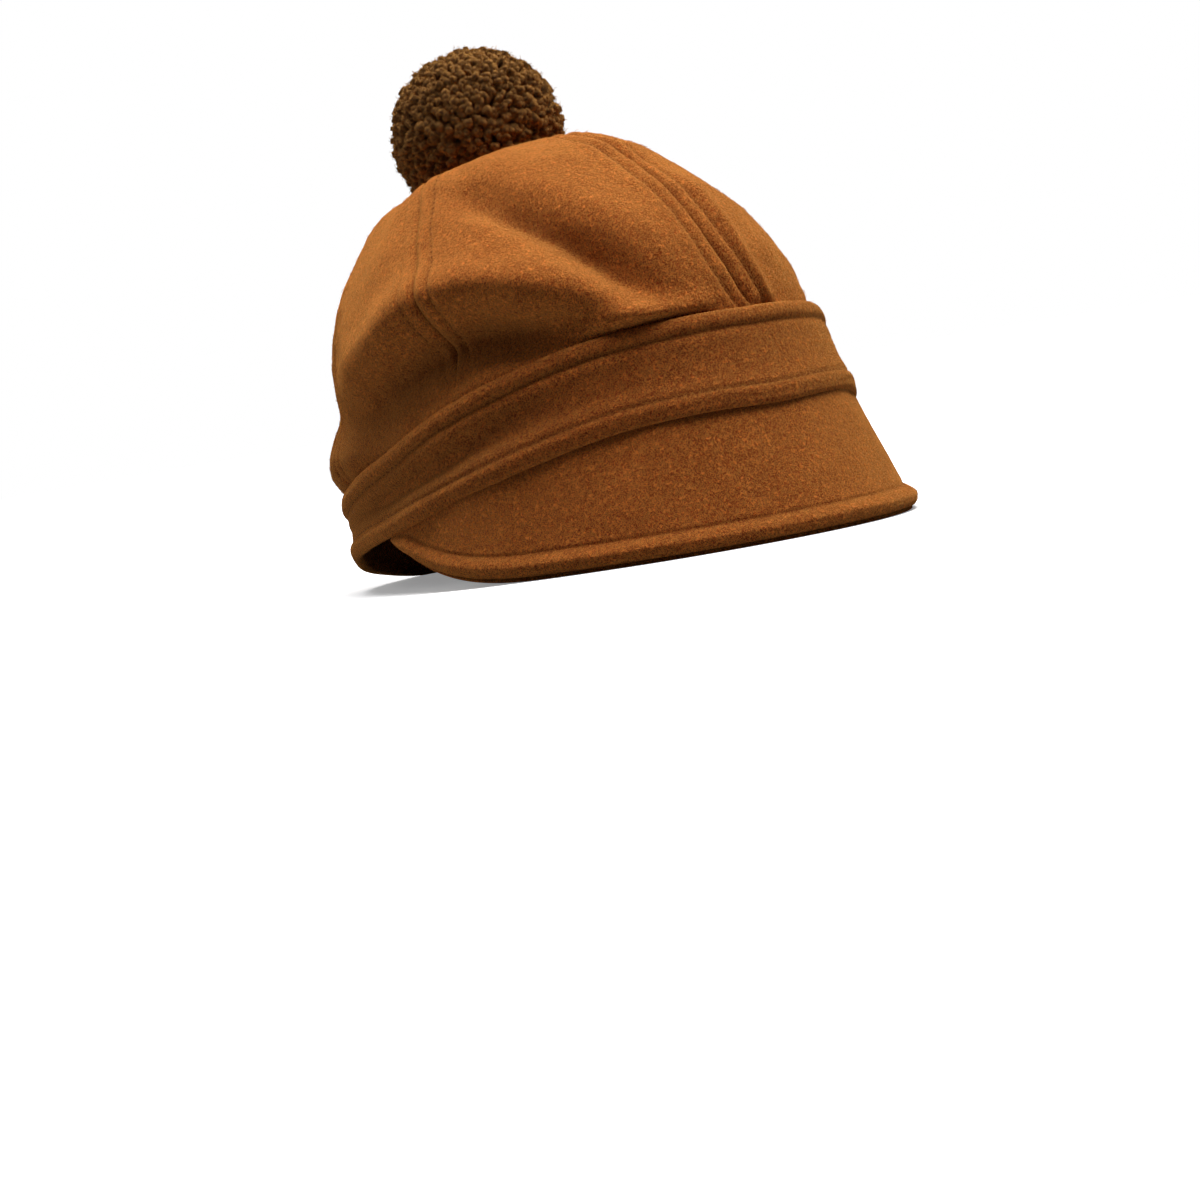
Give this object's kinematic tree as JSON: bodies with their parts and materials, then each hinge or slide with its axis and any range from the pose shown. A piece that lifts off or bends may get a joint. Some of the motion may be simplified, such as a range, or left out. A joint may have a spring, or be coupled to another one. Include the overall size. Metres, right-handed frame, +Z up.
{
  "type": "soft wool cap with a short peak and a yarn pompom",
  "caption": "Six-panel soft wool cap with a stitched band, a short steep peak over the brow and a round yarn pompom on its top, standing on its rim.",
  "frame": {"origin": "on the surface that the cap stands on, under the middle of its box", "axes": "+Z up, -Y towards the peak and the wearer's front, -X to the wearer's right"},
  "size_m": [0.1746, 0.2213, 0.1834],
  "materials": {
    "crown_wool": "felted wool cloth with a short nap",
    "band_wool": "felted wool cloth with a short nap, stitched along both edges",
    "peak_wool": "felted wool cloth with a short nap, rolled and stitched edge",
    "pompom_yarn": "cut ends of soft wool yarn"
  },
  "bodies": {
    "root": {"crown_back_left": "crown_wool", "crown_side_left": "crown_wool", "crown_front_left": "crown_wool", "crown_front_right": "crown_wool", "crown_side_right": "crown_wool", "crown_back_right": "crown_wool", "band": "band_wool", "peak_cover": "peak_wool", "peak_facing": "peak_wool", "pompom": "pompom_yarn"}
  },
  "joints": []
}
